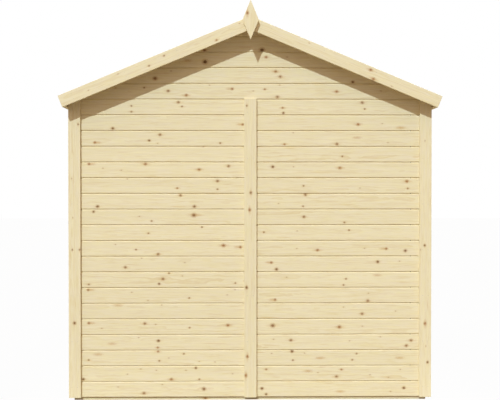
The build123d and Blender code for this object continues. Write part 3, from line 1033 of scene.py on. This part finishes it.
# Solids and the way of their grain
planed_pieces = {
    "rear_corner_strips": upright_x,
    "rear_centre_strip": upright_x,
    "front_corner_strips": upright_x,
    "door_meeting_strip": upright_x,
    "left_wall_strips": upright_y,
    "right_wall_strips": upright_y,
    "rear_bargeboard_left": roof_grain,
    "rear_bargeboard_right": roof_grain,
    "front_bargeboard_left": roof_grain,
    "front_bargeboard_right": roof_grain,
    "rear_finial": upright_x,
    "front_finial": upright_x,
    "eaves_fascia_left": level_y,
    "eaves_fascia_right": level_y,
}
sawn_pieces = {
    "rear_wall_studs": upright_x,
    "rear_wall_rails": level_x,
    "front_wall_studs": upright_x,
    "front_wall_rails": level_x,
    "left_wall_studs": upright_y,
    "left_wall_rails": level_y,
    "right_wall_studs": upright_y,
    "right_wall_rails": level_y,
    "gable_rails": level_x,
    "gable_rafters": roof_grain,
    "king_posts": upright_x,
    "ridge_beam": level_y,
    "roof_purlins": level_y,
    "door_stiles": upright_x,
    "door_ledges": level_x,
    "door_braces": brace_grain,
    "floor_bearers": level_x,
}
for seed, (node, grain) in enumerate(planed_pieces.items(), 41):
    density = 0.0 if node in knots_on else knots_per_square_metre
    shaped(node, "_planed", trim_wood, planed_arris, grain, seed, density)
for seed, (node, grain) in enumerate(sawn_pieces.items(), 41 + len(planed_pieces)):
    density = knots_per_square_metre / 2
    shaped(node, "_sawn", sawn_wood, sawn_arris, grain, seed, density)


# Floor and roof boards


def reach(node, axis):
    """How far a solid reaches along an axis, lowest and highest."""
    distances = [corner.co.dot(axis) for corner in solids[node].data.vertices]
    return min(distances), max(distances)


def lay_planks(name, node, along, depth, cuts, seed):
    """Tongued boards along one axis in the place of a solid; depth leads in from their face."""
    across = along.cross(depth)
    near = reach(node, depth)[0]
    foot, last = reach(node, across)
    rows = math.ceil((last - foot) / plank_cover)
    spans = [reach(node, along)]
    bm = rows_of_boards(plank_section(), spans, foot, rows, plank_cover, plank_wood)
    saw(bm, (0, 0, last), (0, 0, 1))
    turn = Matrix((along, depth, across)).transposed().to_4x4()
    bm.transform(turn @ Matrix.Translation((0, near, 0)))
    for point, away in cuts:
        saw(bm, point, away)
    season(bm, runs(along, across), seed, knots_per_square_metre / 2)
    finished(bm, name, plank_wood, node)


for name, side in sides.items():
    ridge_cut = ((0, 0, 0), (-side, 0, 0))
    lay_planks("roof_boards_" + name, "roof_deck_" + name, down_slope(side), out_of_roof(side),
               [ridge_cut], 90 + side)
lay_planks("floor_boards", "floor_deck", Vector((0, 1, 0)), Vector((0, 0, -1)), [], 93)


# Felt, laid in lapped sheets

felt_thickness = 0.002
felt_wave = 0.0005
felt_lift = felt_thickness + felt_wave
felt_mesh = 0.03
felt_lap = 0.08
felt_climb = 0.02
upper_sheet = 0.46
felt_bed = reach("roof_deck_right", out_of_roof(1))[1]
ridge_along, slope_end = reach("roof_felt_right", down_slope(1))
ridge_reach = reach("ridge_felt", down_slope(1))[1]
lap_start = ridge_along + upper_sheet


def on_slope(side, along, out, y):
    """The point at a distance down a slope of the roof, a height square out of it, and a Y."""
    point = down_slope(side) * along + out_of_roof(side) * out
    return Vector((point.x, y, point.z))


def felt_height(along, y, laid):
    """A sheet's top over its bed: its thickness, and slight waves that the sun raised."""
    wave = noise.noise(Vector((along * 3.1, y * 2.3, laid)))
    ripple = noise.noise(Vector((along * 14.0, y * 9.0, laid + 5)))
    return felt_thickness + felt_wave * (0.7 * wave + 0.3 * ripple)


def lap_height(along, lap):
    """How high a sheet lies that climbs on to another one where it reaches the lap."""
    return felt_lift * min(1.0, max(0.0, (along - lap + felt_climb) / felt_climb))


def felt_sheet(bm, side, start, end, lap, laid):
    """A sheet of felt on one slope, between two distances down it."""
    rows = max(4, round((end - start) / felt_mesh))
    columns = round(2 * trim_back / felt_mesh)
    layers = []
    for over in (False, True):
        layer = []
        for row in range(rows + 1):
            along = start + (end - start) * row / rows
            line = []
            for column in range(columns + 1):
                y = -trim_back + 2 * trim_back * column / columns
                rise = lap_height(along, lap) + (felt_height(along, y, laid) if over else 0.0)
                point = on_slope(side, along, felt_bed + rise, y)
                past_ridge = max(0.0, -side * point.x)
                line.append(bm.verts.new(point + down_slope(side) * (past_ridge / roof_cos)))
            layer.append(line)
        layers.append(layer)
    for layer in layers:
        skin(bm, layer, closed=False)
    for edge in (0, -1):
        skin(bm, [layer[edge] for layer in layers], closed=False)
        skin(bm, [[line[edge] for line in layer] for layer in layers], closed=False)


def lay_felt(name, sheets, solid):
    """Sheets of felt as one piece; each has its side, its start and end, and its lap."""
    bm = bmesh.new()
    for number, (side, start, end, lap) in enumerate(sheets):
        felt_sheet(bm, side, start, end, lap, 10.0 * number + side)
    finished(bm, name, mineral_felt, solid)


# The lower sheets lap nothing, the upper ones lap them, and the ridge strip lies on felt
for name, side in sides.items():
    lower = (side, lap_start, slope_end, math.inf)
    upper = (side, ridge_along, lap_start + felt_lap, lap_start)
    lay_felt("felt_sheets_" + name, [lower, upper], "roof_felt_" + name)
ridge_top = ridge_along - felt_thickness
ridge_strip = [(side, ridge_top, ridge_reach, ridge_top) for side in (-1, 1)]
lay_felt("ridge_felt_strip", ridge_strip, "ridge_felt")


# Nails, screws and the turned knob


def heads(name, spots, width, rise, finish):
    """Domed heads of nails or screws; a spot is a point of a surface and the way it faces."""
    mesh = bpy.data.meshes.new(name)
    mesh.from_pydata([point for point, facing in spots], [], [])
    layer = mesh.attributes.new("facing", "FLOAT_VECTOR", "POINT")
    layer.data.foreach_set("vector", [part for point, facing in spots for part in facing])
    values = {"Width": width, "Rise": rise, "Finish": finish}
    put_piece(name, grown(mesh, head_tree, values), finish)


def spaced(low, high, step):
    """Evenly spread places from low to high, about a step apart."""
    count = max(1, round((high - low) / step))
    return [low + (high - low) * number / count for number in range(count + 1)]


def on_all_walls(points):
    """Spots at points of a wall that faces -Y, and at the same points of the other walls."""
    spots = []
    for turn in turns.values():
        spin = Matrix.Rotation(math.radians(turn), 3, "Z")
        spots += [(spin @ Vector(point), spin @ Vector((0, -1, 0))) for point in points]
    return spots


def strip_nails():
    """Lost-head nails in pairs down every cover strip, the meeting strip included."""
    half_strip, from_middle = 0.035, 0.016
    from_foot, from_top, step = 0.06, 0.08, 0.29
    middles = (0.0, half_strip - strip_face, strip_face - half_strip)
    heights = spaced(wall_foot + from_foot, wall_top - from_top, step)
    points = []
    for middle, z, offset in itertools.product(middles, heights, (-from_middle, from_middle)):
        points.append((middle + offset, -strip_face, z))
    return on_all_walls(points)


def bargeboard_nails():
    """A pair of nails in each bargeboard over every framing member behind it."""
    from_ridge, from_end, step = 0.14, 0.06, 0.34
    below_top = (0.02, 0.05)
    top = reach("rear_bargeboard_right", out_of_roof(1))[1]
    places = spaced(ridge_along + from_ridge, slope_end - from_end, step)
    spots = []
    for end, side, along, below in itertools.product((-1, 1), (-1, 1), places, below_top):
        point = on_slope(side, along, top - below, end * trim_face)
        spots.append((point, Vector((0, end, 0))))
    return spots


def fascia_nails():
    """Nails along both eaves fascias, into the ends of the roof boards."""
    from_end, step, below_top = 0.05, 0.3, 0.012
    spots = []
    for name, side in sides.items():
        outer = reach("eaves_fascia_" + name, down_slope(side))[1]
        top = reach("eaves_fascia_" + name, out_of_roof(side))[1]
        for y in spaced(from_end - trim_back, trim_back - from_end, step):
            spots.append((on_slope(side, outer, top - below_top, y), down_slope(side)))
    return spots


def cove_pins():
    """Dark pins in the coves of each wall's right-hand panel, in line with its corner stud."""
    from_corner, below_lip, sunk = 0.104, 0.0026, 0.0008
    pin_face = clad_face - lip_thickness + sunk
    points = []
    for row in range(1, panel_rows):
        z = wall_foot + row * board_cover - below_lip
        points.append((clad_face - from_corner, -pin_face, z))
    return on_all_walls(points)


def felt_nails():
    """Clout nails along the laps, the ridge strip and the eaves."""
    from_strip_edge, from_edge, from_verge, step = 0.02, 0.025, 0.03, 0.1
    one_sheet = felt_bed + felt_thickness
    two_sheets = one_sheet + felt_lift
    rows = [
        (ridge_reach - from_strip_edge, two_sheets),
        (lap_start + felt_lap - from_edge, two_sheets),
        (slope_end - from_edge, one_sheet),
    ]
    spots = []
    for side, (along, height) in itertools.product((-1, 1), rows):
        for y in spaced(from_verge - trim_back, trim_back - from_verge, step):
            spots.append((on_slope(side, along, height, y), out_of_roof(side)))
    return spots


def hinge_screws():
    """Screws through the plates and straps of the tee hinges."""
    strap_thickness, from_plate_end = 0.0025, 0.013
    plate_screws = (-0.035, 0.035)
    strap_screws = (0.03, 0.11, 0.19, 0.27)
    face = clad_face + strap_thickness
    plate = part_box("tee_hinges")[1].x
    corners = [corner.co for corner in solids["tee_hinges"].data.vertices]
    heights = sorted({round(co.z, 3) for co in corners if co.x > plate - 0.001})
    spots = []
    for side, pair in itertools.product((-1, 1), (0, 2, 4)):
        middle = (heights[pair] + heights[pair + 1]) / 2
        places = [(plate - from_plate_end, middle + rise) for rise in plate_screws]
        places += [(leaf_high.x - along, middle) for along in strap_screws]
        for x, z in places:
            spots.append((Vector((side * x, face, z)), Vector((0, 1, 0))))
    return spots


def turned_knob():
    """The door knob as it comes off the lathe: rose, neck and rounded head."""
    low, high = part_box("door_knob")
    seat = Vector(((low.x + high.x) / 2, low.y, (low.z + high.z) / 2))
    rose, neck, head, half_head = 0.024, 0.0075, 0.022, 0.017
    head_middle = high.y - low.y - half_head
    profile = [(rose, 0.0), (rose, 0.0015), (rose - 0.0035, 0.004), (neck + 0.004, 0.0046)]
    profile += [(neck, 0.009), (neck, 0.018), (neck + 0.0025, 0.022)]
    for degrees in range(30, 171, 10):
        angle = math.radians(degrees)
        profile.append((head * math.sin(angle) ** 0.8, head_middle - half_head * math.cos(angle)))
    facets = 40
    bm = bmesh.new()
    rings = []
    for radius, out in profile:
        ring = []
        for step in range(facets):
            angle = 2 * math.pi * step / facets
            spoke = Vector((radius * math.cos(angle), out, radius * math.sin(angle)))
            ring.append(bm.verts.new(seat + spoke))
        rings.append(ring)
    skin(bm, rings)
    bm.faces.new(rings[0])
    bm.faces.new(rings[-1])
    finished(bm, "turned_door_knob", black_iron, "door_knob")


# Widths and heights of the heads
lost_head = (0.0026, 0.0004)
pin_head = (0.0042, 0.0012)
clout_head = (0.0095, 0.0012)
screw_head = (0.0085, 0.0022)
heads("cover_strip_nails", strip_nails(), *lost_head, galvanised)
heads("bargeboard_nails", bargeboard_nails(), *lost_head, galvanised)
heads("fascia_nails", fascia_nails(), *lost_head, galvanised)
heads("cove_pins", cove_pins(), *pin_head, black_iron)
heads("felt_clout_nails", felt_nails(), *clout_head, galvanised)
heads("hinge_screws", hinge_screws(), *screw_head, black_iron)
turned_knob()
solids["tee_hinges"].data.materials.clear()
solids["tee_hinges"].data.materials.append(black_iron)


# Light, floor and camera

light_the_world()
put_sun("sun", (0.358, 1.0, -0.943), 2.755, (0.71, 0.875, 0.985), 0.8)
put_sun("fill", (-0.45, -1.0, -0.85), 2.15, (0.84, 0.93, 1.0), 4.0)
put_sun("left side light", (1.0, -0.2, -0.42), 0.80, (0.87, 0.97, 1.0), 8.0)
put_sun("right side light", (-1.0, -0.2, -0.42), 1.28, (0.90, 0.97, 1.0), 8.0)

floor_mesh = bpy.data.meshes.new("floor")
floor_corners = [(-1, -1), (1, -1), (1, 1), (-1, 1)]
floor_corners = [(x * floor_reach, y * floor_reach, -floor_drop) for x, y in floor_corners]
floor_mesh.from_pydata(floor_corners, [], [(0, 1, 2, 3)])
floor = bpy.data.objects.new("floor", floor_mesh)
floor_mesh.materials.append(make_floor_finish())
scene.collection.objects.link(floor)

put_camera()
scene.view_settings.view_transform = "Standard"
scene.view_settings.look = "None"
